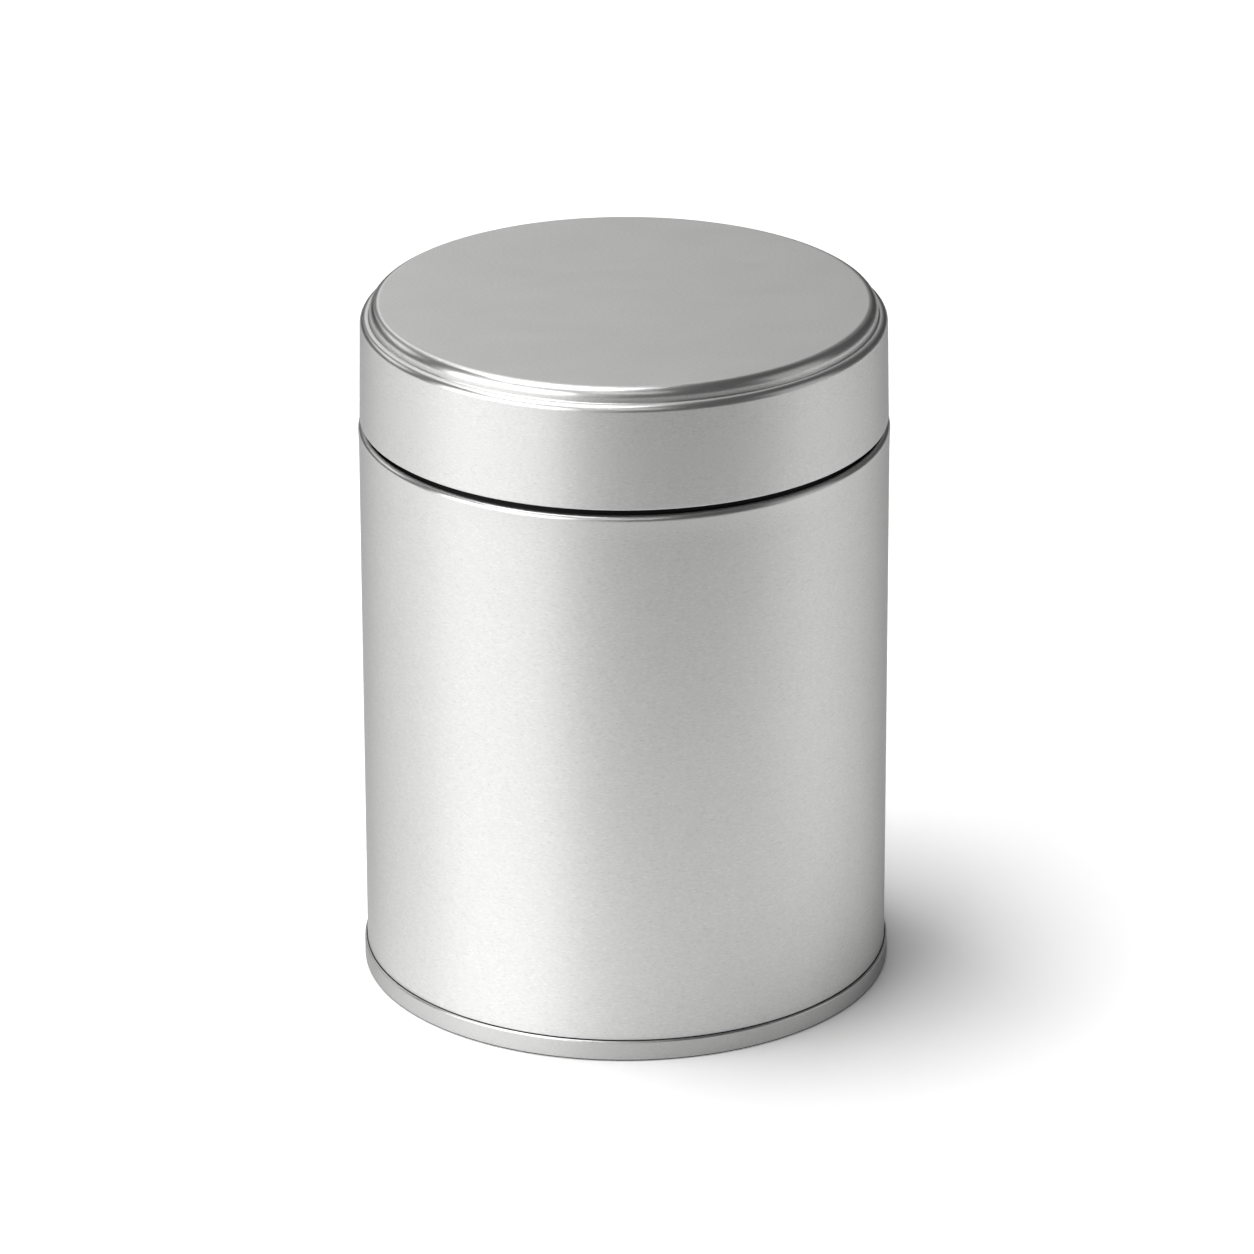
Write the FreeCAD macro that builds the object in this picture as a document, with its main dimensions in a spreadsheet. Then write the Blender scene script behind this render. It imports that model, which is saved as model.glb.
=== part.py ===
import FreeCAD, Part
import os

import Sketcher

# A round tea tin, upright and shut: a cylindrical body with a rolled shoulder, a bottom end that is
# seamed on to it, and a drawn slip-on lid with a raised panel.
# Millimetres, +Z up. The origin is the centre of the circle that the tin stands on. The tin's front
# faces -Y and the welded seam of its wall is at the back, on +Y.

# The driving dimensions: name, value, what it measures.
SIZES = [
    ("sheet_gauge", 0.25, "thickness of the tinplate"),
    # the bottom end
    ("seam_proud", 0.4, "how far the seam ring round the foot stands out from the wall"),
    ("seam_height", 3.0, "top of the seam ring above the ground"),
    ("seam_width", 1.5, "seam ring from its outside to the recess under the tin"),
    ("seam_top_round", 0.3, "top edge of the seam ring"),
    ("seam_foot_round", 0.3, "the two edges of the ring that the tin stands on"),
    ("recess_depth", 2.8, "bottom panel above the ground"),
    ("recess_round", 0.6, "hollow between the bottom panel and the seam ring"),
    ("hook_seat", 1.2, "bottom of the slot in the seam, where the body's lower edge sits"),
    ("seam_clearance", 0.05, "slack between the body and the bottom end that it is folded round"),
    ("seam_lip_gap", 0.1, "open line between the body's wall and the lip of the seam ring"),
    # the body
    ("wall_radius", 37.5, "outside of the body's wall"),
    ("shoulder_height", 82.3, "top of the rolled shoulder above the ground"),
    ("shoulder_round", 0.8, "roll of the shoulder"),
    ("shoulder_flare", 0.12, "how far the wall leans out to the shoulder"),
    ("flare_height", 2.6, "the length of wall that leans out"),
    ("neck_root_round", 0.1, "hollow between the shoulder and the neck"),
    ("neck_top_round", 0.6, "upper edge of the neck"),
    ("neck_seat", 0.05, "least width of the flat ring where the lid's step lies on the neck's top"),
    ("side_seam_width", 1.2, "lapped and welded seam up the back of the wall"),
    ("side_seam_rise", 0.12, "how far the side seam stands out from the wall"),
    ("side_seam_end", 0.3, "bare wall between the seam ring and the side seam"),
    # the lid
    ("lid_gap", 0.87, "open line between the shoulder and the lid"),
    ("lid_inset", 0.13, "how far the lid's lower edge stands in from the body's wall"),
    ("lid_draft", 0.28, "how much the skirt draws in towards its top"),
    ("skirt_height", 15.08, "the lid's lower edge to its step"),
    ("step_width", 1.29, "step between the skirt and the raised panel, with its rounded edge"),
    ("step_round", 0.95, "edge between the skirt and the step"),
    ("panel_rise", 2.05, "raised panel above the step"),
    ("panel_round", 1.5, "edge of the raised panel"),
    ("crease_round", 0.2, "hollow between the step and the raised panel"),
    ("hem_height", 2.2, "edge of the skirt that is folded in and up"),
    ("hem_round", 0.22, "fold of the hem"),
    ("lid_clearance", 0.15, "slack between the neck and the hem"),
]

# Sizes that follow from the ones above, as the expressions that the features are bound to.
SEAM_OUTSIDE = "Sizes.wall_radius + Sizes.seam_proud"
SEAM_INSIDE = f"{SEAM_OUTSIDE} - Sizes.seam_width"
SLOT_INSIDE = f"{SEAM_INSIDE} + Sizes.sheet_gauge"
SLOT_OUTSIDE = "Sizes.wall_radius + Sizes.seam_lip_gap"
PANEL_TOP = "Sizes.recess_depth + Sizes.sheet_gauge"

HOOK_INSIDE = f"{SLOT_INSIDE} + Sizes.seam_clearance"
BODY_FLOOR = f"{PANEL_TOP} + Sizes.seam_clearance"
FLARE_START = "Sizes.shoulder_height - Sizes.flare_height"
SHOULDER_RADIUS = "Sizes.wall_radius + Sizes.shoulder_flare"

LID_EDGE = "Sizes.shoulder_height + Sizes.lid_gap"
EDGE_RADIUS = "Sizes.wall_radius - Sizes.lid_inset"
STEP_HEIGHT = f"{LID_EDGE} + Sizes.skirt_height"
STEP_RADIUS = f"{EDGE_RADIUS} - Sizes.lid_draft"
PANEL_RADIUS = f"{STEP_RADIUS} - Sizes.step_width"
TIN_HEIGHT = f"{STEP_HEIGHT} + Sizes.panel_rise"
HEM_OUTSIDE = f"{EDGE_RADIUS} - Sizes.sheet_gauge"
HEM_INSIDE = f"{HEM_OUTSIDE} - Sizes.sheet_gauge"
HEM_TOP = f"{LID_EDGE} + Sizes.hem_height"

# The neck clears the tightest part of the lid, and the lid's step sits on the neck's flat top.
NECK_RADIUS = f"{HEM_OUTSIDE} - max(Sizes.sheet_gauge; Sizes.lid_draft) - Sizes.lid_clearance"
NECK_TOP = f"{STEP_HEIGHT} - Sizes.sheet_gauge"

# A rounding uses up at most this share of the wall or the rise that it lies on.
WALL_SHARE = 0.95
SEAM_LIP = "Sizes.seam_proud - Sizes.seam_lip_gap"
SEAM_TOP_ROUND = f"min(Sizes.seam_top_round; {WALL_SHARE} * ({SEAM_LIP}))"
HEM_ROUND = f"min(Sizes.hem_round; {WALL_SHARE} * Sizes.sheet_gauge)"
PANEL_WALL = "Sizes.panel_rise - Sizes.crease_round"
PANEL_ROUND = f"min(Sizes.panel_round; {WALL_SHARE} * ({PANEL_WALL}))"

# The step and the neck's top both keep the flat ring of the seat, just outside the crease, and the
# neck's edge is round enough to clear the hollow corner inside the lid.
STEP_ROUND = "min(Sizes.step_round; Sizes.step_width - Sizes.crease_round - Sizes.neck_seat)"
SEAT_INSIDE = f"{PANEL_RADIUS} + Sizes.crease_round"
NECK_ROOM = f"{NECK_RADIUS} - ({SEAT_INSIDE}) - Sizes.neck_seat"
LID_CORNER = f"{NECK_RADIUS} - ({STEP_RADIUS}) + {STEP_ROUND}"
NECK_TOP_ROUND = f"min(max(Sizes.neck_top_round; {LID_CORNER}); {NECK_ROOM})"

CLOSE = 1e-4


def make_sheet(doc):
    """The spreadsheet with the driving dimensions, one row and one alias each."""
    sheet = doc.addObject("Spreadsheet::Sheet", "Sizes")
    for row, (name, value, note) in enumerate(SIZES, start=1):
        sheet.set(f"A{row}", name)
        sheet.set(f"B{row}", str(value))
        sheet.set(f"C{row}", note)
        sheet.setAlias(f"B{row}", name)
    doc.recompute()


def origin_plane(body, role):
    """One of the body's own origin planes."""
    return next(item for item in body.Origin.OriginFeatures if item.Role == role)


def attach(body, name, role):
    """An empty sketch on one of the body's origin planes."""
    sketch = body.newObject("Sketcher::SketchObject", name)
    sketch.AttachmentSupport = [(origin_plane(body, role), "")]
    sketch.MapMode = "FlatFace"
    return sketch


def size_of(sketch, expression):
    """The number that an expression of the sheet comes to."""
    return float(sketch.evalExpression(expression))


def bind_distance(sketch, axis, corner, name, expression):
    """Hold a corner at a distance from the sketch's origin that follows the sheet."""
    start = size_of(sketch, expression)
    index = sketch.addConstraint(Sketcher.Constraint(f"Distance{axis}", -1, 1, corner, 1, start))
    sketch.renameConstraint(index, name)
    sketch.setExpression(f"Constraints.{name}", expression)


def draw_profile(body, name, corners, role="XZ_Plane"):
    """A closed outline of straight lines through named corners.

    Each corner is (name, across, up), both as expressions. Level and upright lines are held so, and
    every other corner is held by its distances from the axes.
    """
    sketch = attach(body, name, role)
    spots = [FreeCAD.Vector(size_of(sketch, x), size_of(sketch, y), 0) for _, x, y in corners]
    for spot, following in zip(spots, spots[1:] + spots[:1]):
        sketch.addGeometry(Part.LineSegment(spot, following), False)
    for corner, (label, across, up) in enumerate(corners):
        line_before = (corner - 1) % len(corners)
        _, across_before, up_before = corners[line_before]
        sketch.addConstraint(Sketcher.Constraint("Coincident", line_before, 2, corner, 1))
        if across == "0":
            sketch.addConstraint(Sketcher.Constraint("PointOnObject", corner, 1, -2))
        elif across == across_before:
            sketch.addConstraint(Sketcher.Constraint("Vertical", line_before))
        else:
            bind_distance(sketch, "X", corner, f"{label}_across", across)
        if up == "0":
            sketch.addConstraint(Sketcher.Constraint("PointOnObject", corner, 1, -1))
        elif up == up_before:
            sketch.addConstraint(Sketcher.Constraint("Horizontal", line_before))
        else:
            bind_distance(sketch, "Y", corner, f"{label}_up", up)
    return sketch


def revolve(body, name, sketch):
    """A full turn of a profile about +Z."""
    turn = body.newObject("PartDesign::Revolution", name)
    turn.Profile = sketch
    turn.ReferenceAxis = (sketch, ["V_Axis"])
    turn.Angle = 360
    body.Document.recompute()
    return turn


def round_edges(body, name, radius, rings):
    """Round the circular edges of the body so far that lie at (radius, height)."""
    base = body.Tip
    wanted = [(size_of(base, across), size_of(base, up)) for across, up in rings]
    edges = []
    for number, edge in enumerate(base.Shape.Edges, start=1):
        if edge.Curve.TypeId != "Part::GeomCircle":
            continue
        ring = (edge.Curve.Radius, edge.Curve.Center.z)
        if any(abs(ring[0] - r) < CLOSE and abs(ring[1] - z) < CLOSE for r, z in wanted):
            edges.append(f"Edge{number}")
    if len(edges) != len(rings):
        raise RuntimeError(f"{name}: {len(edges)} edges found, {len(rings)} wanted")
    fillet = body.newObject("PartDesign::Fillet", name)
    fillet.Base = (base, edges)
    fillet.setExpression("Radius", radius)
    body.Document.recompute()
    return fillet


def new_body(doc, label):
    """A body whose label names its file. Every piece is modelled where it sits on the tin."""
    body = doc.addObject("PartDesign::Body", f"Body_{label}")
    body.Label = label
    body.Placement = FreeCAD.Placement()
    return body


def make_base(doc):
    """The bottom end: a recessed panel and the seam ring, whose slot holds the body's lower edge."""
    base = new_body(doc, "base")
    profile = draw_profile(base, "EndProfile", [
        ("panel_underside", "0", "Sizes.recess_depth"),
        ("recess_corner", SEAM_INSIDE, "Sizes.recess_depth"),
        ("foot_inside", SEAM_INSIDE, "0"),
        ("foot_outside", SEAM_OUTSIDE, "0"),
        ("seam_top_outside", SEAM_OUTSIDE, "Sizes.seam_height"),
        ("seam_top_inside", SLOT_OUTSIDE, "Sizes.seam_height"),
        ("slot_outside", SLOT_OUTSIDE, "Sizes.hook_seat"),
        ("slot_inside", SLOT_INSIDE, "Sizes.hook_seat"),
        ("panel_edge", SLOT_INSIDE, PANEL_TOP),
        ("panel_middle", "0", PANEL_TOP),
    ])
    revolve(base, "End", profile)
    foot = [(SEAM_INSIDE, "0"), (SEAM_OUTSIDE, "0")]
    round_edges(base, "SeamFoot", "Sizes.seam_foot_round", foot)
    round_edges(base, "SeamTop", SEAM_TOP_ROUND, [(SEAM_OUTSIDE, "Sizes.seam_height")])
    round_edges(base, "RecessHollow", "Sizes.recess_round", [(SEAM_INSIDE, "Sizes.recess_depth")])
    return base


def make_body(doc):
    """The body: a straight wall, a rolled shoulder and the neck that the lid slips over."""
    body = new_body(doc, "body")
    profile = draw_profile(body, "WallProfile", [
        ("floor_middle", "0", BODY_FLOOR),
        ("floor_edge", HOOK_INSIDE, BODY_FLOOR),
        ("hook_inside", HOOK_INSIDE, "Sizes.hook_seat"),
        ("hook_outside", "Sizes.wall_radius", "Sizes.hook_seat"),
        ("flare", "Sizes.wall_radius", FLARE_START),
        ("shoulder", SHOULDER_RADIUS, "Sizes.shoulder_height"),
        ("neck_root", NECK_RADIUS, "Sizes.shoulder_height"),
        ("neck_edge", NECK_RADIUS, NECK_TOP),
        ("neck_middle", "0", NECK_TOP),
    ])
    revolve(body, "Wall", profile)
    round_edges(body, "Shoulder", "Sizes.shoulder_round", [(SHOULDER_RADIUS, "Sizes.shoulder_height")])
    round_edges(body, "NeckRoot", "Sizes.neck_root_round", [(NECK_RADIUS, "Sizes.shoulder_height")])
    round_edges(body, "NeckTop", NECK_TOP_ROUND, [(NECK_RADIUS, NECK_TOP)])
    add_side_seam(body)
    return body


def add_side_seam(body):
    """The lapped sheet of the welded seam, a low flat strip up the back of the wall."""
    left = "-Sizes.side_seam_width / 2"
    right = "Sizes.side_seam_width / 2"
    inner = "Sizes.wall_radius - Sizes.sheet_gauge"
    outer = "Sizes.wall_radius + Sizes.side_seam_rise"
    start = "Sizes.seam_height + Sizes.side_seam_end"
    strip = draw_profile(body, "SideSeamProfile", [
        ("left_inner", left, inner),
        ("right_inner", right, inner),
        ("right_outer", right, outer),
        ("left_outer", left, outer),
    ], role="XY_Plane")
    strip.setExpression("AttachmentOffset.Base.z", start)
    seam = body.newObject("PartDesign::Pad", "SideSeam")
    seam.Profile = strip
    seam.setExpression("Length", f"{FLARE_START} - ({start})")
    body.Document.recompute()


def make_lid(doc):
    """The drawn lid: a solid of its outside, rounded, shelled to the sheet and hemmed."""
    lid = new_body(doc, "lid")
    outside = draw_profile(lid, "LidProfile", [
        ("mouth_middle", "0", LID_EDGE),
        ("mouth_edge", EDGE_RADIUS, LID_EDGE),
        ("step_edge", STEP_RADIUS, STEP_HEIGHT),
        ("crease", PANEL_RADIUS, STEP_HEIGHT),
        ("panel_edge", PANEL_RADIUS, TIN_HEIGHT),
        ("panel_middle", "0", TIN_HEIGHT),
    ])
    revolve(lid, "Drawing", outside)
    round_edges(lid, "StepEdge", STEP_ROUND, [(STEP_RADIUS, STEP_HEIGHT)])
    round_edges(lid, "PanelEdge", PANEL_ROUND, [(PANEL_RADIUS, TIN_HEIGHT)])
    round_edges(lid, "Crease", "Sizes.crease_round", [(PANEL_RADIUS, STEP_HEIGHT)])
    shell_lid(lid)
    hem = draw_profile(lid, "HemProfile", [
        ("fold_inside", HEM_INSIDE, LID_EDGE),
        ("fold_outside", EDGE_RADIUS, LID_EDGE),
        ("top_outside", HEM_OUTSIDE, HEM_TOP),
        ("top_inside", HEM_INSIDE, HEM_TOP),
    ])
    revolve(lid, "Hem", hem)
    fold = [(HEM_INSIDE, LID_EDGE), (EDGE_RADIUS, LID_EDGE)]
    round_edges(lid, "HemFold", HEM_ROUND, fold)
    return lid


def shell_lid(lid):
    """Hollow the lid from its mouth, leaving the sheet's thickness inside the drawn outline."""
    solid = lid.Tip
    mouth_height = size_of(solid, LID_EDGE)
    mouth = []
    for number, face in enumerate(solid.Shape.Faces, start=1):
        if abs(face.BoundBox.ZMax - mouth_height) < CLOSE:
            mouth.append(f"Face{number}")
    shell = lid.newObject("PartDesign::Thickness", "Sheet")
    shell.Base = (solid, mouth)
    shell.Join = "Arc"
    shell.Reversed = True
    shell.setExpression("Value", "Sizes.sheet_gauge")
    lid.Document.recompute()


def check(doc, pieces):
    """Stop if anything in the document failed, or a piece isn't one sound solid."""
    for item in doc.Objects:
        if "Invalid" in item.State or "Error" in item.State:
            raise RuntimeError(f"{item.Label} failed: {item.State}")
    for item in doc.Objects:
        if item.TypeId == "Sketcher::SketchObject" and item.solve() != 0:
            raise RuntimeError(f"{item.Label} does not solve")
    for piece in pieces:
        shape = piece.Shape
        if shape.isNull() or not shape.isValid() or len(shape.Solids) != 1:
            raise RuntimeError(f"{piece.Label} is not one valid solid")


def main():
    doc = FreeCAD.newDocument("tea_tin")
    make_sheet(doc)
    pieces = [make_base(doc), make_body(doc), make_lid(doc)]
    doc.recompute()
    check(doc, pieces)
    os.makedirs("parts", exist_ok=True)
    for piece in pieces:
        piece.Shape.exportStep(f"parts/{piece.Label}.step")
        box = piece.Shape.BoundBox
        print(f"{piece.Label}: {piece.Shape.Volume:.1f} mm3, z {box.ZMin:.2f} to {box.ZMax:.2f}")


main()
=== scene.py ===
"""A shut, satin tinplate tea tin on a pale studio floor.

The bottom end, the wall and the lid are turned profiles: a few named corners, rounded, and spun about
the tin's axis. Metres, +Z up; the tin's front faces -Y and its side seam is at the back, on +Y.
"""

from math import pi, radians, tau
from typing import NamedTuple

import bmesh
import bpy
from bpy.props import FloatProperty, FloatVectorProperty, IntProperty, PointerProperty
from bpy.types import Operator, Panel, PropertyGroup
from mathutils import Euler, Matrix, Vector


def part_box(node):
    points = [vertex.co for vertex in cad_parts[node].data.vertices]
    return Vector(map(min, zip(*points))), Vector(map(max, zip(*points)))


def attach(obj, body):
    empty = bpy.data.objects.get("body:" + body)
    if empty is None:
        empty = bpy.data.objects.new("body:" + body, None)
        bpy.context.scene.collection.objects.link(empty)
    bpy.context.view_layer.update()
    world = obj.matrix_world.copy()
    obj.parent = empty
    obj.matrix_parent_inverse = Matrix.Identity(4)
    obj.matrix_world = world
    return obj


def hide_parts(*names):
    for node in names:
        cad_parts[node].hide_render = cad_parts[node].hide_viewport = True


bl_info = {
    "name": "Tea tin",
    "version": (1, 0, 0),
    "blender": (4, 5, 0),
    "location": "View3D > Sidebar > Tea tin",
    "description": "Builds a satin tinplate tea tin and the studio it stands in",
    "category": "Add Mesh",
}

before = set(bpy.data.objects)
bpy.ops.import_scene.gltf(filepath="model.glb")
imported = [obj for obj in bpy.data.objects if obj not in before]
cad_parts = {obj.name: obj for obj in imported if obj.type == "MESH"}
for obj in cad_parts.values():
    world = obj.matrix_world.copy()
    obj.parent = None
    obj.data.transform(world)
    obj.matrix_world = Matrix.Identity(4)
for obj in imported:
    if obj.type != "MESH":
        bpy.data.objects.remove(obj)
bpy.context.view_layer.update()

BASE_LOW, BASE_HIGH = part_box("base")
BODY_LOW, BODY_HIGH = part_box("body")
LID_LOW, LID_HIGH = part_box("lid")

BODY = "root"
MM = 0.001


def length(name, default, description):
    """A length, in metres."""
    return FloatProperty(name=name, description=description, default=default, min=0.0,
                         subtype="DISTANCE", unit="LENGTH", precision=5)


def share(name, default, description):
    """A plain number from nothing to one."""
    return FloatProperty(name=name, description=description, default=default, min=0.0, max=1.0,
                         subtype="FACTOR")


def colour(name, default, description):
    """A surface colour."""
    return FloatVectorProperty(name=name, description=description, default=default, size=3,
                               min=0.0, max=1.0, subtype="COLOR")


class TinSizes(PropertyGroup):
    """The sizes of the tin. Those that the frame's boxes give come from there."""

    steps: IntProperty(name="Steps", description="Faces round the tin", default=256, min=48, max=512)
    bend_steps: IntProperty(name="Bend steps", description="Faces across a rounded edge",
                            default=10, min=2, max=24)
    gauge: length("Gauge", 0.25 * MM, "Thickness of the tinplate")

    seam_radius: length("Seam radius", BASE_HIGH.x, "Outside of the seam ring round the foot")
    seam_height: length("Seam height", 3.0 * MM, "Top of the seam ring above the ground")
    seam_width: length("Seam width", 1.5 * MM, "Seam ring from its outside to the recess")
    seam_top_round: length("Seam top", 0.285 * MM, "Rounding of the seam ring's top edge")
    seam_foot_round: length("Seam foot", 0.3 * MM, "Rounding of the edges the tin stands on")
    recess_round: length("Recess round", 0.6 * MM, "Hollow between the bottom panel and the seam")
    panel_top: length("Bottom panel", BASE_HIGH.z, "Upper face of the bottom panel")
    hook_seat: length("Hook seat", BODY_LOW.z, "Where the body's lower edge sits in the seam")
    slack: length("Slack", 0.05 * MM, "Play between the body and the bottom end folded round it")
    lip_gap: length("Lip gap", 0.1 * MM, "Open line between the wall and the lip of the seam ring")

    wall_radius: length("Wall radius", 37.5 * MM, "Outside of the body's wall")
    shoulder_height: length("Shoulder height", 82.3 * MM, "Top of the rolled shoulder")
    shoulder_round: length("Shoulder roll", 0.8 * MM, "Rounding of the shoulder")
    flare: length("Flare", 0.12 * MM, "How far the wall leans out to the shoulder")
    flare_height: length("Flare height", 2.6 * MM, "Length of wall that leans out")
    neck_radius: length("Neck radius", 36.69 * MM, "Outside of the neck that the lid slips over")
    neck_height: length("Neck height", BODY_HIGH.z, "Top of the neck")
    neck_root_round: length("Neck root", 0.1 * MM, "Hollow between the shoulder and the neck")
    neck_top_round: length("Neck edge", 0.6 * MM, "Rounding of the neck's upper edge")
    side_seam_width: length("Side seam", 1.2 * MM, "Width of the seam up the back")
    side_seam_rise: length("Side seam rise", 0.12 * MM, "How far the side seam stands out")
    side_seam_end: length("Side seam end", 0.3 * MM, "Bare wall between the ring and the side seam")
    side_seam_round: length("Side seam edge", 0.08 * MM, "Rounding of the side seam's edges")

    lid_edge_radius: length("Lid radius", LID_HIGH.x, "Outside of the lid at its lower edge")
    lid_edge_height: length("Lid edge", LID_LOW.z, "The lid's lower edge above the ground")
    lid_draft: length("Lid draft", 0.28 * MM, "How much the skirt draws in towards its top")
    lid_height: length("Lid height", LID_HIGH.z, "Top of the raised panel")
    step_width: length("Step width", 1.29 * MM, "Step between the skirt and the raised panel")
    step_round: length("Step edge", 0.95 * MM, "Rounding between the skirt and the step")
    panel_rise: length("Panel rise", 2.05 * MM, "Raised panel above the step")
    panel_round: length("Panel edge", 1.5 * MM, "Rounding of the raised panel's edge")
    crease_round: length("Crease", 0.2 * MM, "Hollow between the step and the panel")
    hem_height: length("Hem height", 2.2 * MM, "Edge of the skirt folded in and up")
    hem_round: length("Hem fold", 0.22 * MM, "Rounding of the hem's fold")
    hem_draft: length("Hem draft", 0.04 * MM, "How much the skirt has drawn in at the hem's top")


class TinFinish(PropertyGroup):
    """The look of the tinplate."""

    metal: colour("Tinplate", (0.65, 0.65, 0.645), "Colour of the clean metal")
    # Painted shade: the colour that the bands of painted shade darken the metal towards
    shade: colour("Shade", (0.012, 0.012, 0.012), "Colour deep in a gap or a crevice")
    roughness: share("Roughness", 0.44, "Blur of the satin face")
    edge_roughness: share("Edge roughness", 0.3, "Blur where the sheet is drawn round an edge")
    edge_tint: share("Edge tint", 0.4, "How bright the metal stays at a grazing angle")
    spread: share("Spread", 0.65, "How much more the grain blurs across itself than along itself")
    grain: share("Grain", 0.16, "How much the rolled grain lightens and darkens the metal")
    grain_blur: share("Grain blur", 0.015, "How much the rolled grain changes the blur")
    grain_size: length("Grain size", 0.17 * MM, "Width of the rolled grain")
    grain_stretch: FloatProperty(name="Grain stretch", default=3.0, min=1.0,
                                 description="Length of the rolled grain as a share of its width")
    marks_size: length("Draw marks", 0.35 * MM, "Spacing of the marks across a drawn edge")
    relief: length("Relief", 0.0012 * MM, "Height of the grain and of the marks")
    # Partly the duller worked metal of the seam ring, partly painted shade for the darker floor that
    # its face reflects
    ring_shade: share("Ring shade", 0.2, "How much darker the seam ring's face is")


class StudioSettings(PropertyGroup):
    """The floor, the lamps and the camera."""

    floor_size: length("Floor", 6.0, "Side of the square floor")
    floor_grey: share("Floor colour", 0.8, "Colour of the pale paper on the floor")
    floor_lift: FloatProperty(name="Floor lift", default=1.6, min=0.0,
                              description="How much paler the paper looks than its own colour")
    # Painted shade: the paper's colour darkens towards the front, and the metal reflects that
    # darkening too
    front_start: length("Front shade start", 0.03, "Where the floor starts to darken to the front")
    front_end: length("Front shade end", 0.3, "Where it is as dark as it gets")
    front_tone: share("Front shade", 0.35, "How pale it still is there")
    air_level: FloatProperty(name="Air", default=0.1, min=0.0,
                             description="Brightness of the room round the lamps")
    lens: FloatProperty(name="Lens", description="Focal length", default=212.6, unit="CAMERA")
    camera_place: FloatVectorProperty(name="Camera", description="Place of the camera",
                                      default=(0.0003, -0.9767, 0.4578), subtype="TRANSLATION",
                                      unit="LENGTH")
    camera_tilt: FloatProperty(name="Tilt", description="How far the camera looks down",
                               default=radians(22.64), subtype="ANGLE")
    camera_roll: FloatProperty(name="Roll", description="Turn about the line of sight",
                               default=radians(-0.19), subtype="ANGLE")


# ---------------------------------------------------------------- shapes

MERGE_DISTANCE = 1e-6  # metres
SHORTEST_EDGE = 1e-7
SHARP_ANGLE = radians(35)
SEAM_BEND_STEPS = 4  # faces across the side seam's rounded edges


def turned(corners, sizes):
    """A piece turned about the tin's axis from corners (radius, height, rounding)."""
    bm = bmesh.new()
    line = [bm.verts.new((radius, 0.0, height)) for radius, height, _ in corners]
    for start, end in zip(line, line[1:]):
        bm.edges.new((start, end))
    for vertex, (_, _, rounding) in zip(line, corners):
        if rounding > 0.0:
            bmesh.ops.bevel(bm, geom=[vertex], offset=rounding, offset_type="OFFSET",
                            segments=sizes.bend_steps, profile=0.5, affect="VERTICES", material=-1)
    outline = bm.verts[:] + bm.edges[:]
    bmesh.ops.spin(bm, geom=outline, cent=(0, 0, 0), axis=(0, 0, 1), angle=tau,
                   steps=sizes.steps, use_merge=True)
    bmesh.ops.remove_doubles(bm, verts=bm.verts, dist=MERGE_DISTANCE)
    bmesh.ops.dissolve_degenerate(bm, dist=SHORTEST_EDGE, edges=bm.edges)
    bmesh.ops.recalc_face_normals(bm, faces=bm.faces)
    return bm


def finish_piece(name, bm, material):
    """Turn a bmesh into a smooth piece that rides on the tin."""
    mesh = bpy.data.meshes.new(name)
    bm.to_mesh(mesh)
    bm.free()
    mesh.shade_smooth()
    mesh.set_sharp_from_angle(angle=SHARP_ANGLE)
    mesh.materials.append(material)
    piece = bpy.data.objects.new(name, mesh)
    bpy.context.scene.collection.objects.link(piece)
    weighted = piece.modifiers.new("Face-weighted normals", "WEIGHTED_NORMAL")
    weighted.keep_sharp = True
    weighted.weight = 100
    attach(piece, BODY)
    return piece


# ---------------------------------------------------------------- materials

# How far a face's normal points up or down: 0 on an upright wall, 1 on a level face
LEVEL_START = 0.7  # the grain turns from the wall's to the level face's between these two
LEVEL_FULL = 0.9
BEND_START = 0.06  # a drawn edge comes in from the wall between these two
BEND_FULL = 0.22
BEND_FADE = 0.93  # and goes out into the level face between these two
BEND_END = 0.995

GRAIN_DETAIL = 3.0
GRAIN_RANGE = (0.25, 0.75)  # the noise that becomes a tone of -1 to 1
GRAIN_HEIGHT = 0.5  # as a share of the relief
CLOUD_RATE = 0.06  # how fast the blur changes, as a share of how fast the grain does
CLOUD_DETAIL = 2.0
CLOUD_RANGE = (0.3, 0.7)  # the noise that becomes a blur of -1 to 1
MARK_LENGTH = 8.0  # as a share of the spacing of the draw marks
MARK_DETAIL = 2.0
MARK_HEIGHT = 2.0  # as a share of the relief


class PaintedShadeBand(NamedTuple):
    """A band round the tin that little light reaches, painted in shade between two heights and two
    radii.
    """

    low: float
    high: float
    inner: float
    outer: float
    softness: float
    strength: float = 1.0


def put(tree, socket, value):
    """Give a socket a plain value, or link it to another node's output."""
    if isinstance(value, bpy.types.NodeSocket):
        tree.links.new(value, socket)
    else:
        socket.default_value = value


def maths(tree, operation, *values):
    """One Math node. Each value is a number or another node's output."""
    node = tree.nodes.new("ShaderNodeMath")
    node.operation = operation
    for socket, value in zip(node.inputs, values):
        put(tree, socket, value)
    return node.outputs["Value"]


def ramp(tree, value, start, end, low=0.0, high=1.0, kind="SMOOTHSTEP"):
    """A value that goes from low at start to high at end."""
    node = tree.nodes.new("ShaderNodeMapRange")
    node.interpolation_type = kind
    for socket, part in zip(node.inputs, (value, start, end, low, high)):
        put(tree, socket, part)
    return node.outputs["Result"]


def vector(tree, x, y, z):
    """Three values as one vector."""
    node = tree.nodes.new("ShaderNodeCombineXYZ")
    for socket, value in zip(node.inputs, (x, y, z)):
        put(tree, socket, value)
    return node.outputs["Vector"]


def parts(tree, source):
    """The three values of a vector."""
    node = tree.nodes.new("ShaderNodeSeparateXYZ")
    tree.links.new(source, node.inputs["Vector"])
    return node.outputs["X"], node.outputs["Y"], node.outputs["Z"]


def blend(tree, kind, factor, first, second):
    """Mix two values, vectors or colours."""
    node = tree.nodes.new("ShaderNodeMix")
    node.data_type = kind
    wanted = [socket for socket in node.inputs if socket.enabled]
    for socket, value in zip(wanted, (factor, first, second)):
        put(tree, socket, value)
    return next(socket for socket in node.outputs if socket.enabled)


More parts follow.
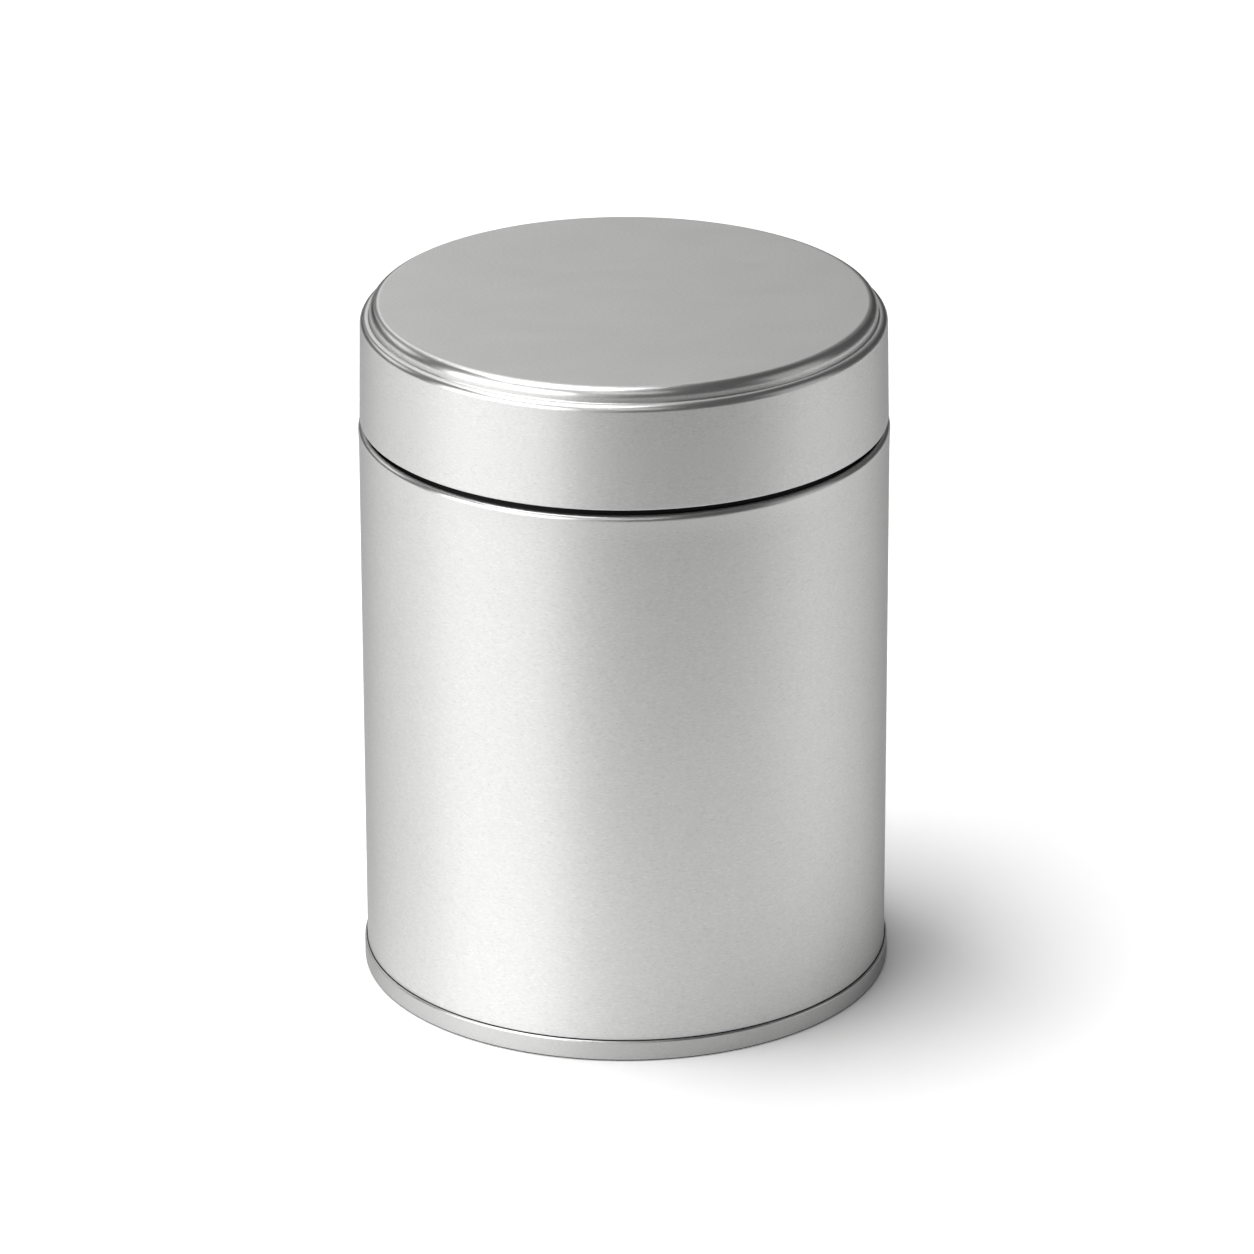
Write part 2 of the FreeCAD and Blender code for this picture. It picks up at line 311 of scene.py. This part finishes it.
def noise(tree, place, detail):
    """Smooth noise from nought to one."""
    node = tree.nodes.new("ShaderNodeTexNoise")
    node.inputs["Scale"].default_value = 1.0
    node.inputs["Detail"].default_value = detail
    tree.links.new(place, node.inputs["Vector"])
    return node.outputs["Fac"]


def new_group(name, inputs, outputs):
    """An empty shader group with number sockets. Returns it with its first and last nodes."""
    group = bpy.data.node_groups.new(name, "ShaderNodeTree")
    for label, default in inputs:
        socket = group.interface.new_socket(label, in_out="INPUT", socket_type="NodeSocketFloat")
        socket.default_value = default
    for label in outputs:
        group.interface.new_socket(label, in_out="OUTPUT", socket_type="NodeSocketFloat")
    entry = group.nodes.new("NodeGroupInput")
    leave = group.nodes.new("NodeGroupOutput")
    return group, entry, leave


def radius_and_height(tree):
    """Distance from the tin's axis and height above the ground of a point on the tin."""
    x, y, z = parts(tree, tree.nodes.new("ShaderNodeTexCoord").outputs["Object"])
    return maths(tree, "POWER", maths(tree, "ADD", maths(tree, "MULTIPLY", x, x),
                                      maths(tree, "MULTIPLY", y, y)), 0.5), z


def rolled_grain():
    """The grain that rolling leaves in tinplate, and the marks that drawing leaves on its edges.

    On a wall the grain runs round the tin, and on a level face it runs along X. Tone, the light and
    dark of the grain, and Blur, a slow change over many grains, are -1 to 1. Height is their relief
    and the marks'. Edge is 1 where the sheet is drawn round an edge.
    """
    group = bpy.data.node_groups.get("rolled_grain")
    if group:
        return group
    group, entry, leave = new_group("rolled_grain", [("Size", 0.2 * MM), ("Stretch", 3.0),
                                                     ("Marks", 0.4 * MM), ("Radius", 37.5 * MM)],
                                    ["Tone", "Blur", "Height", "Edge"])
    size, stretch, marks, radius = entry.outputs[:4]
    coordinates = group.nodes.new("ShaderNodeTexCoord")
    x, y, z = parts(group, coordinates.outputs["Object"])
    _, _, upright = parts(group, coordinates.outputs["Normal"])
    level = maths(group, "ABSOLUTE", upright)
    turn = maths(group, "ARCTAN2", x, maths(group, "MULTIPLY", y, -1.0))
    around = maths(group, "MULTIPLY", turn, radius)
    away, _ = radius_and_height(group)

    length_of_grain = maths(group, "MULTIPLY", size, stretch)
    on_wall = vector(group, maths(group, "DIVIDE", around, length_of_grain),
                     maths(group, "DIVIDE", away, size), maths(group, "DIVIDE", z, size))
    on_top = vector(group, maths(group, "DIVIDE", x, length_of_grain),
                    maths(group, "DIVIDE", y, size), maths(group, "DIVIDE", z, size))
    flat = ramp(group, level, LEVEL_START, LEVEL_FULL)
    place = blend(group, "VECTOR", flat, on_wall, on_top)
    fine = noise(group, place, GRAIN_DETAIL)
    even = ramp(group, fine, *GRAIN_RANGE, -1.0, 1.0, "LINEAR")
    tone = maths(group, "MULTIPLY", even, maths(group, "ABSOLUTE", even))  # only strong flecks stay

    slow = group.nodes.new("ShaderNodeVectorMath")
    slow.operation = "SCALE"
    group.links.new(place, slow.inputs[0])
    slow.inputs["Scale"].default_value = CLOUD_RATE
    cloud = noise(group, slow.outputs[0], CLOUD_DETAIL)
    blur = ramp(group, cloud, *CLOUD_RANGE, -1.0, 1.0, "LINEAR")

    rise = ramp(group, level, BEND_START, BEND_FULL)
    fall = ramp(group, level, BEND_FADE, BEND_END, 1.0, 0.0)
    edge = maths(group, "MULTIPLY", rise, fall)
    length_of_mark = maths(group, "MULTIPLY", marks, MARK_LENGTH)
    across = vector(group, maths(group, "DIVIDE", around, marks),
                    maths(group, "DIVIDE", z, length_of_mark), 0.0)
    mark = maths(group, "MULTIPLY", noise(group, across, MARK_DETAIL), edge)
    height = maths(group, "ADD", maths(group, "MULTIPLY", fine, GRAIN_HEIGHT),
                   maths(group, "MULTIPLY", mark, MARK_HEIGHT))

    group.links.new(tone, leave.inputs["Tone"])
    group.links.new(blur, leave.inputs["Blur"])
    group.links.new(height, leave.inputs["Height"])
    group.links.new(edge, leave.inputs["Edge"])
    return group


def painted_shade_line():
    """A mask of painted shade for a band: its strength between its heights and radii, and 0 outside
    them.
    """
    group = bpy.data.node_groups.get("painted_shade_line")
    if group:
        return group
    group, entry, leave = new_group("painted_shade_line", [("Low", 0.0), ("High", 1.0), ("Inner", 0.0),
                                                    ("Outer", 1.0), ("Softness", 0.1 * MM),
                                                    ("Strength", 1.0)], ["Shade"])
    low, high, inner, outer, soft, strength = entry.outputs[:6]
    away, z = radius_and_height(group)
    mask = strength
    for value, start, end in ((z, low, high), (away, inner, outer)):
        rise = ramp(group, value, maths(group, "SUBTRACT", start, soft), start)
        fall = ramp(group, value, end, maths(group, "ADD", end, soft), 1.0, 0.0)
        mask = maths(group, "MULTIPLY", mask, maths(group, "MULTIPLY", rise, fall))
    group.links.new(mask, leave.inputs["Shade"])
    return group


def across_the_grain(tree):
    """The direction in which the grain blurs most: upright on a wall, along Y on a level face."""
    _, _, upright = parts(tree, tree.nodes.new("ShaderNodeTexCoord").outputs["Normal"])
    level = ramp(tree, maths(tree, "ABSOLUTE", upright), LEVEL_START, LEVEL_FULL)
    return vector(tree, 0.0, level, maths(tree, "SUBTRACT", 1.0, level))


def tinplate(name, scene, painted_shade_bands):
    """Satin tinplate with its rolled grain, with painted shade in the given bands."""
    finish = scene.tin_finish
    material = bpy.data.materials.new(name)
    material.use_nodes = True
    tree = material.node_tree
    shader = tree.nodes["Principled BSDF"]
    shader.inputs["Metallic"].default_value = 1.0
    shader.inputs["Anisotropic"].default_value = finish.spread
    shader.inputs["Specular Tint"].default_value = (finish.edge_tint,) * 3 + (1.0,)
    tree.links.new(across_the_grain(tree), shader.inputs["Tangent"])

    grain = tree.nodes.new("ShaderNodeGroup")
    grain.node_tree = rolled_grain()
    for label, value in (("Size", finish.grain_size), ("Stretch", finish.grain_stretch),
                         ("Marks", finish.marks_size), ("Radius", scene.tin_sizes.wall_radius)):
        grain.inputs[label].default_value = value

    # Painted shade: the strongest band's mask mixes the base colour towards the shade colour
    shade = 0.0
    for band in painted_shade_bands:
        line = tree.nodes.new("ShaderNodeGroup")
        line.node_tree = painted_shade_line()
        for label, value in band._asdict().items():
            line.inputs[label.capitalize()].default_value = value
        shade = maths(tree, "MAXIMUM", shade, line.outputs["Shade"])

    level = maths(tree, "MULTIPLY_ADD", grain.outputs["Tone"], finish.grain, 1.0)
    clean = tree.nodes.new("ShaderNodeVectorMath")
    clean.operation = "SCALE"
    clean.inputs[0].default_value = finish.metal
    tree.links.new(level, clean.inputs["Scale"])
    paint = blend(tree, "RGBA", shade, clean.outputs[0], (*finish.shade, 1.0))
    tree.links.new(paint, shader.inputs["Base Color"])

    blur = maths(tree, "MULTIPLY_ADD", grain.outputs["Blur"], finish.grain_blur * finish.roughness,
                 finish.roughness)
    blur = blend(tree, "FLOAT", grain.outputs["Edge"], blur, finish.edge_roughness)
    tree.links.new(blur, shader.inputs["Roughness"])

    bump = tree.nodes.new("ShaderNodeBump")
    bump.inputs["Distance"].default_value = finish.relief
    tree.links.new(grain.outputs["Height"], bump.inputs["Height"])
    tree.links.new(bump.outputs["Normal"], shader.inputs["Normal"])
    return material


# ---------------------------------------------------------------- pieces


class TIN_OT_base(Operator):
    """Add the seamed bottom end"""

    bl_idname = "tin.base"
    bl_label = "Bottom end"

    def execute(self, context):
        s = context.scene.tin_sizes
        inside = s.seam_radius - s.seam_width
        slot_inside = inside + s.gauge
        slot_outside = s.wall_radius + s.lip_gap
        corners = [
            (0.0, s.panel_top - s.gauge, 0.0),
            (inside, s.panel_top - s.gauge, s.recess_round),
            (inside, 0.0, s.seam_foot_round),
            (s.seam_radius, 0.0, s.seam_foot_round),
            (s.seam_radius, s.seam_height, s.seam_top_round),
            (slot_outside, s.seam_height, 0.0),
            (slot_outside, s.hook_seat, 0.0),
            (slot_inside, s.hook_seat, 0.0),
            (slot_inside, s.panel_top, 0.0),
            (0.0, s.panel_top, 0.0),
        ]
        outside = s.seam_radius + MM  # past the metal, so a band reaches all of it
        # Painted shade in the slot between the wall and the ring's lip, and a painted shadow line
        # where the tin stands on the ground
        slot = PaintedShadeBand(low=s.hook_seat, high=s.seam_height + 0.1 * MM,
                    inner=0.0, outer=slot_outside + 0.02 * MM, softness=0.04 * MM)
        foot = PaintedShadeBand(low=-MM, high=0.12 * MM, inner=inside, outer=outside, softness=0.2 * MM)
        # The ring's face: partly the duller worked metal of the seam, partly painted shade for the
        # darker floor it reflects near the ground
        ring = PaintedShadeBand(low=0.0, high=s.seam_height - s.seam_top_round, inner=s.seam_radius, outer=outside,
                    softness=0.2 * MM, strength=context.scene.tin_finish.ring_shade)
        metal = tinplate("bottom_end_tinplate", context.scene, [slot, foot, ring])
        piece = finish_piece("bottom_end", turned(corners, s), metal)
        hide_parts("base")
        return {"FINISHED"}


class TIN_OT_body(Operator):
    """Add the wall with its shoulder and its neck"""

    bl_idname = "tin.body"
    bl_label = "Body"

    def execute(self, context):
        s = context.scene.tin_sizes
        slot_inside = s.seam_radius - s.seam_width + s.gauge + s.slack
        corners = [
            (0.0, s.panel_top + s.slack, 0.0),
            (slot_inside, s.panel_top + s.slack, 0.0),
            (slot_inside, s.hook_seat, 0.0),
            (s.wall_radius, s.hook_seat, 0.0),
            (s.wall_radius, s.shoulder_height - s.flare_height, 0.5 * s.flare_height),
            (s.wall_radius + s.flare, s.shoulder_height, s.shoulder_round),
            (s.neck_radius, s.shoulder_height, s.neck_root_round),
            (s.neck_radius, s.neck_height, s.neck_top_round),
            (0.0, s.neck_height, 0.0),
        ]
        # Painted shade on the foot of the wall in its slot, and on the neck under the lid
        crevice = PaintedShadeBand(low=0.0, high=s.seam_height + 0.08 * MM,
                       inner=0.0, outer=s.wall_radius + MM, softness=0.1 * MM)
        neck = PaintedShadeBand(low=s.shoulder_height, high=s.neck_height,
                    inner=0.0, outer=s.neck_radius + 0.1 * MM, softness=0.1 * MM)
        metal = tinplate("wall_tinplate", context.scene, [crevice, neck])
        piece = finish_piece("wall", turned(corners, s), metal)
        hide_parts("body")
        return {"FINISHED"}


class TIN_OT_side_seam(Operator):
    """Add the lapped and welded seam up the back of the wall"""

    bl_idname = "tin.side_seam"
    bl_label = "Side seam"

    def execute(self, context):
        s = context.scene.tin_sizes
        low = s.seam_height + s.side_seam_end
        high = s.shoulder_height - s.flare_height
        inner = s.wall_radius - s.gauge
        depth = s.gauge + s.side_seam_rise
        bm = bmesh.new()
        bmesh.ops.create_cube(bm, size=1.0)
        bmesh.ops.scale(bm, vec=(s.side_seam_width, depth, high - low), verts=bm.verts)
        bmesh.ops.translate(bm, vec=(0.0, inner + depth / 2, (low + high) / 2), verts=bm.verts)
        outer = [edge for edge in bm.edges if all(v.co.y > inner + depth / 2 for v in edge.verts)]
        bmesh.ops.bevel(bm, geom=outer, offset=s.side_seam_round, offset_type="OFFSET",
                        segments=SEAM_BEND_STEPS, profile=0.5, affect="EDGES", material=-1)
        metal = tinplate("side_seam_tinplate", context.scene, [])
        finish_piece("side_seam", bm, metal)
        return {"FINISHED"}


class TIN_OT_lid(Operator):
    """Add the drawn lid"""

    bl_idname = "tin.lid"
    bl_label = "Lid"

    def execute(self, context):
        s = context.scene.tin_sizes
        step = s.lid_height - s.panel_rise
        step_radius = s.lid_edge_radius - s.lid_draft
        panel_radius = step_radius - s.step_width
        hem_outside = s.lid_edge_radius - s.gauge
        hem_inside = hem_outside - s.gauge
        corners = [
            (0.0, s.lid_height, 0.0),
            (panel_radius, s.lid_height, s.panel_round),
            (panel_radius, step, s.crease_round),
            (step_radius, step, s.step_round),
            (s.lid_edge_radius, s.lid_edge_height, s.hem_round),
            (hem_inside, s.lid_edge_height, s.hem_round),
            (hem_inside, s.lid_edge_height + s.hem_height, 0.0),
            (hem_outside - s.hem_draft, s.lid_edge_height + s.hem_height, 0.0),
            (step_radius - s.gauge, step - s.gauge, s.step_round - s.gauge),
            (panel_radius - s.gauge, step - s.gauge, s.crease_round + s.gauge),
            (panel_radius - s.gauge, s.lid_height - s.gauge, s.panel_round - s.gauge),
            (0.0, s.lid_height - s.gauge, 0.0),
        ]
        # Painted shade on the hem's inner face, close to the neck
        inside = PaintedShadeBand(low=0.0, high=s.lid_edge_height + s.hem_height,
                      inner=0.0, outer=hem_inside + 0.04 * MM, softness=0.06 * MM)
        metal = tinplate("lid_tinplate", context.scene, [inside])
        piece = finish_piece("lid_cap", turned(corners, s), metal)
        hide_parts("lid")
        return {"FINISHED"}


# ---------------------------------------------------------------- studio

LAMP_TARGET = Vector((0.0, 0.0, 0.05))
LAMP_DISTANCE = 2.0
# name, direction and elevation that it shines from in degrees, width, height, brightness of its face
LAMPS = [
    ("key", 154, 75, 1.0, 1.0, 8.2),
    ("left_softbox", 216, 20, 2.2, 1.4, 2.8),
    ("left_fill", 228, 20, 3.2, 1.4, 0.4),
    ("right_softbox", 354, 20, 1.2, 1.4, 0.42),
    ("rim_softbox", 140, 28, 1.0, 0.5, 1.5),
    ("back_softbox", 95, 35, 2.2, 1.0, 0.2),
    ("front_softbox", 270, 50, 1.0, 0.3, 2.4),
]


def add_lamp(name, direction, elevation, width, height, brightness):
    """A soft rectangular lamp that faces the tin."""
    light = bpy.data.lights.new(name, "AREA")
    light.shape = "RECTANGLE"
    light.size = width
    light.size_y = height
    light.energy = brightness * pi * width * height  # watts
    lamp = bpy.data.objects.new(name, light)
    turn = Euler((0.0, -radians(elevation), radians(direction))).to_matrix()
    away = turn @ Vector((LAMP_DISTANCE, 0.0, 0.0))
    lamp.location = LAMP_TARGET + away
    lamp.rotation_euler = away.to_track_quat("Z", "Y").to_euler()
    bpy.context.scene.collection.objects.link(lamp)


def floor_material(studio):
    """Pale paper with the tin's shadow on it and painted shade towards the front. The camera and the
    metal see it alike.
    """
    material = bpy.data.materials.new("pale_paper")
    material.use_nodes = True
    tree = material.node_tree
    tree.nodes.clear()
    _, y, _ = parts(tree, tree.nodes.new("ShaderNodeTexCoord").outputs["Object"])
    # Painted shade: the paper's colour darkens towards the front
    forward = maths(tree, "MULTIPLY", y, -1.0)
    tone = ramp(tree, forward, studio.front_start, studio.front_end, 1.0, studio.front_tone)

    rays = tree.nodes.new("ShaderNodeLightPath")
    seen = rays.outputs["Is Camera Ray"]
    for other in ("Is Glossy Ray", "Is Transmission Ray"):
        seen = maths(tree, "MAXIMUM", seen, rays.outputs[other])
    lift = ramp(tree, seen, 0.0, 1.0, studio.floor_grey, studio.floor_grey * studio.floor_lift,
                "LINEAR")
    pale = maths(tree, "MULTIPLY", tone, lift)
    paper = tree.nodes.new("ShaderNodeBsdfDiffuse")
    tree.links.new(vector(tree, pale, pale, pale), paper.inputs["Color"])
    out = tree.nodes.new("ShaderNodeOutputMaterial")
    tree.links.new(paper.outputs[0], out.inputs["Surface"])
    return material


class TIN_OT_stage(Operator):
    """Add the floor, the lamps, the world and the camera"""

    bl_idname = "tin.stage"
    bl_label = "Studio"

    def execute(self, context):
        scene = context.scene
        studio = scene.tin_studio
        bm = bmesh.new()
        bmesh.ops.create_grid(bm, x_segments=1, y_segments=1, size=studio.floor_size / 2)
        mesh = bpy.data.meshes.new("floor")
        bm.to_mesh(mesh)
        bm.free()
        mesh.materials.append(floor_material(studio))
        floor = bpy.data.objects.new("floor", mesh)
        scene.collection.objects.link(floor)
        for lamp in LAMPS:
            add_lamp(*lamp)
        world = bpy.data.worlds.new("studio_air")
        world.use_nodes = True
        air = world.node_tree.nodes["Background"]
        air.inputs["Color"].default_value = (1, 1, 1, 1)
        air.inputs["Strength"].default_value = studio.air_level
        scene.world = world
        camera_data = bpy.data.cameras.new("camera")
        camera_data.lens = studio.lens
        camera = bpy.data.objects.new("camera", camera_data)
        camera.location = studio.camera_place
        look = Euler((pi / 2 - studio.camera_tilt, 0, 0)).to_matrix()
        roll = Matrix.Rotation(studio.camera_roll, 3, "Z")
        camera.rotation_euler = (look @ roll).to_euler()
        scene.collection.objects.link(camera)
        scene.camera = camera
        scene.view_settings.view_transform = "Standard"
        return {"FINISHED"}


class TIN_PT_panel(Panel):
    """Lists the tin's pieces and its studio"""

    bl_idname = "TIN_PT_panel"
    bl_label = "Tea tin"
    bl_space_type = "VIEW_3D"
    bl_region_type = "UI"
    bl_category = "Tea tin"

    def draw(self, context):
        scene = context.scene
        for operator in OPERATORS:
            self.layout.operator(operator.bl_idname)
        for group in (scene.tin_sizes, scene.tin_finish, scene.tin_studio):
            for prop in type(group).__annotations__:
                self.layout.prop(group, prop)


OPERATORS = (TIN_OT_base, TIN_OT_body, TIN_OT_side_seam, TIN_OT_lid, TIN_OT_stage)
GROUPS = {"tin_sizes": TinSizes, "tin_finish": TinFinish, "tin_studio": StudioSettings}
CLASSES = (*GROUPS.values(), *OPERATORS, TIN_PT_panel)


def register():
    for cls in CLASSES:
        bpy.utils.register_class(cls)
    for name, group in GROUPS.items():
        setattr(bpy.types.Scene, name, PointerProperty(type=group))


def unregister():
    for name in GROUPS:
        delattr(bpy.types.Scene, name)
    for cls in reversed(CLASSES):
        bpy.utils.unregister_class(cls)


def main():
    register()
    bpy.ops.tin.base()
    bpy.ops.tin.body()
    bpy.ops.tin.side_seam()
    bpy.ops.tin.lid()
    bpy.ops.tin.stage()


if __name__ == "__main__":
    main()
